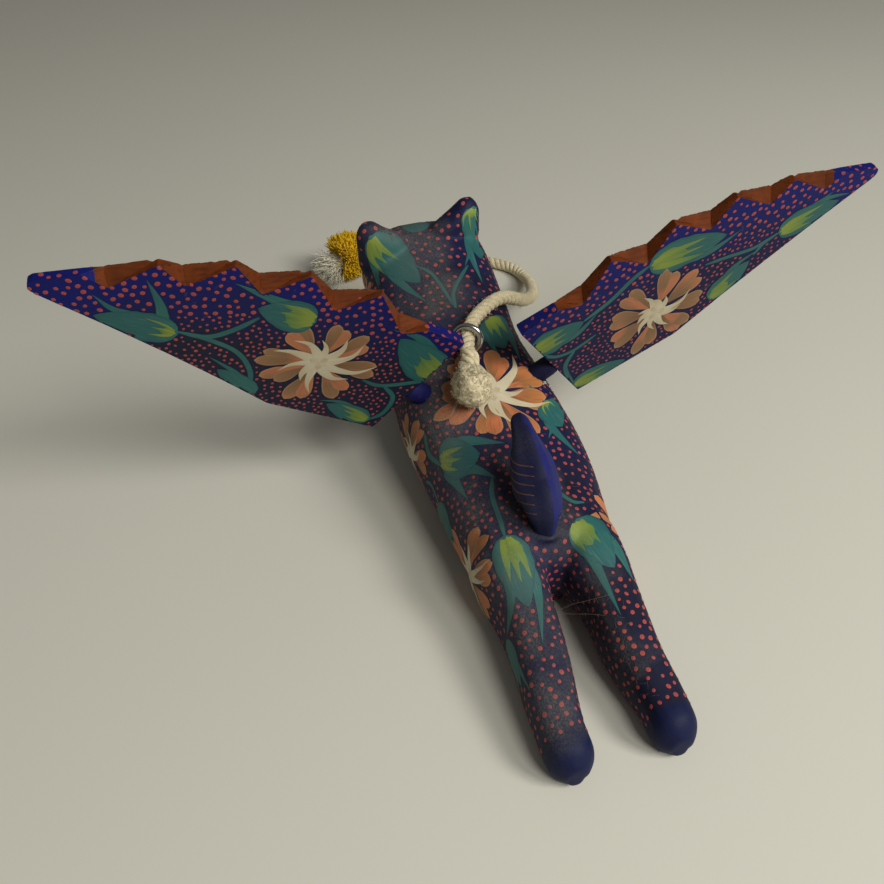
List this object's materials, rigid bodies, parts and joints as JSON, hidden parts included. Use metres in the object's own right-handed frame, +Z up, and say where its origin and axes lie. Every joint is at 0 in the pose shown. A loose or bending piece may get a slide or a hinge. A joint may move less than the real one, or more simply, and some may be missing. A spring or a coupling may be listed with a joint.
{
  "type": "alebrije figurine",
  "caption": "Carved and painted wooden flying cat on its belly, with plug-in wings and tail and a cotton rope hanger.",
  "frame": {"origin": "on the floor under the middle of the figure without its hanger", "axes": "+X to the cat's right, +Y towards its head, +Z up"},
  "size_m": [0.232, 0.2675, 0.0995],
  "materials": {
    "painted_wood": "satin",
    "peg_wood": "matte",
    "zinc_wire": "satin",
    "cotton_rope": "matte",
    "mustard_yarn": "matte"
  },
  "bodies": {
    "carving": {"body": "painted_wood", "screw_eye": "zinc_wire", "hanger_cord": "cotton_rope", "cord_knot": "cotton_rope", "knot_fray": "cotton_rope", "yarn_tuft": "mustard_yarn", "frayed_tip": "cotton_rope"},
    "left_peg": {"left_wing_peg": "peg_wood"},
    "left_wing": {"left_wing": "painted_wood"},
    "right_peg": {"right_wing_peg": "peg_wood"},
    "right_wing": {"right_wing": "painted_wood"},
    "tail": {"tail": "painted_wood", "tail_peg": "peg_wood"}
  },
  "joints": [
    {"name": "left_wing_pull", "type": "slide", "parent": "carving", "child": "left_peg", "axis": [-0.7989, -0.0901, 0.5947], "range_m": [0, 0.016]},
    {"name": "left_wing_twist", "type": "hinge", "parent": "left_peg", "child": "left_wing", "pos_m": [-0.01937, 0.012, 0.03791], "axis": [-0.7989, -0.0901, 0.5947], "range_deg": [-15, 15]},
    {"name": "right_wing_pull", "type": "slide", "parent": "carving", "child": "right_peg", "axis": [0.7989, -0.0901, 0.5947], "range_m": [0, 0.016]},
    {"name": "right_wing_twist", "type": "hinge", "parent": "right_peg", "child": "right_wing", "pos_m": [0.01937, 0.012, 0.03791], "axis": [0.7989, -0.0901, 0.5947], "range_deg": [-15, 15]},
    {"name": "tail_pull", "type": "slide", "parent": "carving", "child": "tail", "axis": [0, 0, 1], "range_m": [0, 0.014]}
  ]
}
